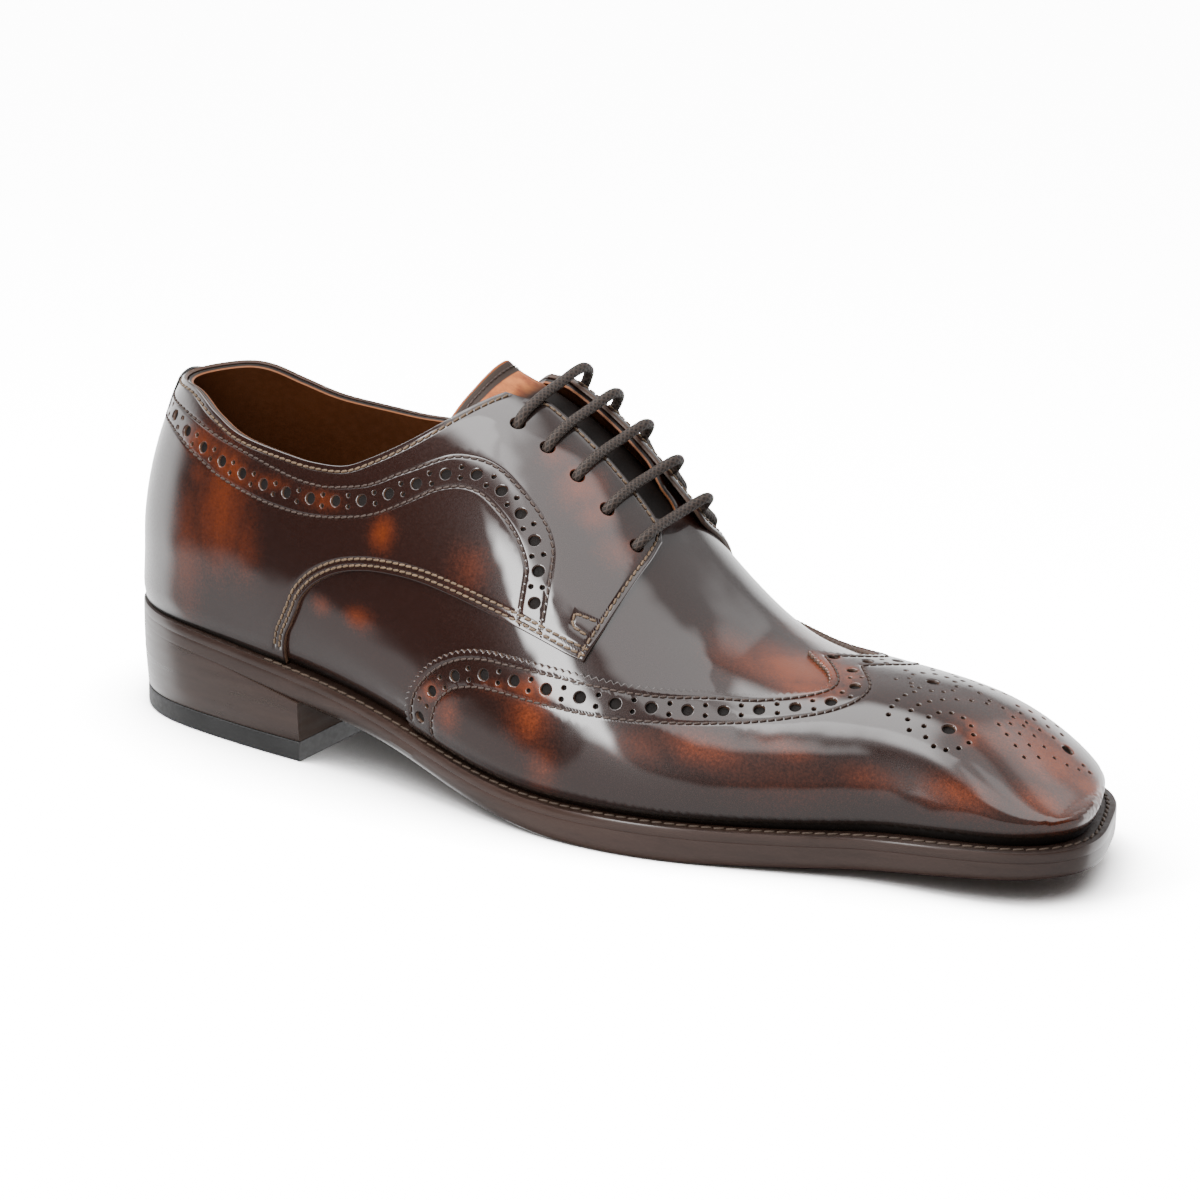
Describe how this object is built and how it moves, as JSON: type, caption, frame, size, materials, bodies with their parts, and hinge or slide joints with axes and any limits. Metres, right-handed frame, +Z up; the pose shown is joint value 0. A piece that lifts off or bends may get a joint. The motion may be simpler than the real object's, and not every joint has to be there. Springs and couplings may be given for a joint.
{
  "type": "wing-cap dress shoe",
  "caption": "Men's leather dress shoe, right foot, with a wing cap, open facings laced by straight bars, a welted sole and a stacked heel.",
  "frame": {"origin": "middle of the footprint's box, on the floor under the sole", "axes": "+X from the heel to the toe, +Y to the inner (medial) side of the foot, +Z up"},
  "size_m": [0.307, 0.1006, 0.1139],
  "materials": {
    "sole_leather": "polished sole edge",
    "welt_leather": "waxed",
    "heel_leather": "polished stacked leather",
    "heel_rubber": "matt",
    "insole_leather": "natural",
    "upper_leather": "burnished patina, high shine",
    "strap_leather": "satin",
    "tongue_leather": "satin",
    "lace_cord": "waxed cotton"
  },
  "bodies": {
    "root": {"outsole": "sole_leather", "welt": "welt_leather", "heel_stack": "heel_leather", "top_lift": "heel_rubber", "insole": "insole_leather", "upper": "upper_leather", "wing_cap": "upper_leather", "quarter_lateral": "upper_leather", "quarter_medial": "upper_leather", "back_strap": "strap_leather", "tongue": "tongue_leather", "lace_bar_1": "lace_cord", "lace_bar_2": "lace_cord", "lace_bar_3": "lace_cord", "lace_bar_4": "lace_cord", "lace_bar_5": "lace_cord"}
  },
  "joints": []
}
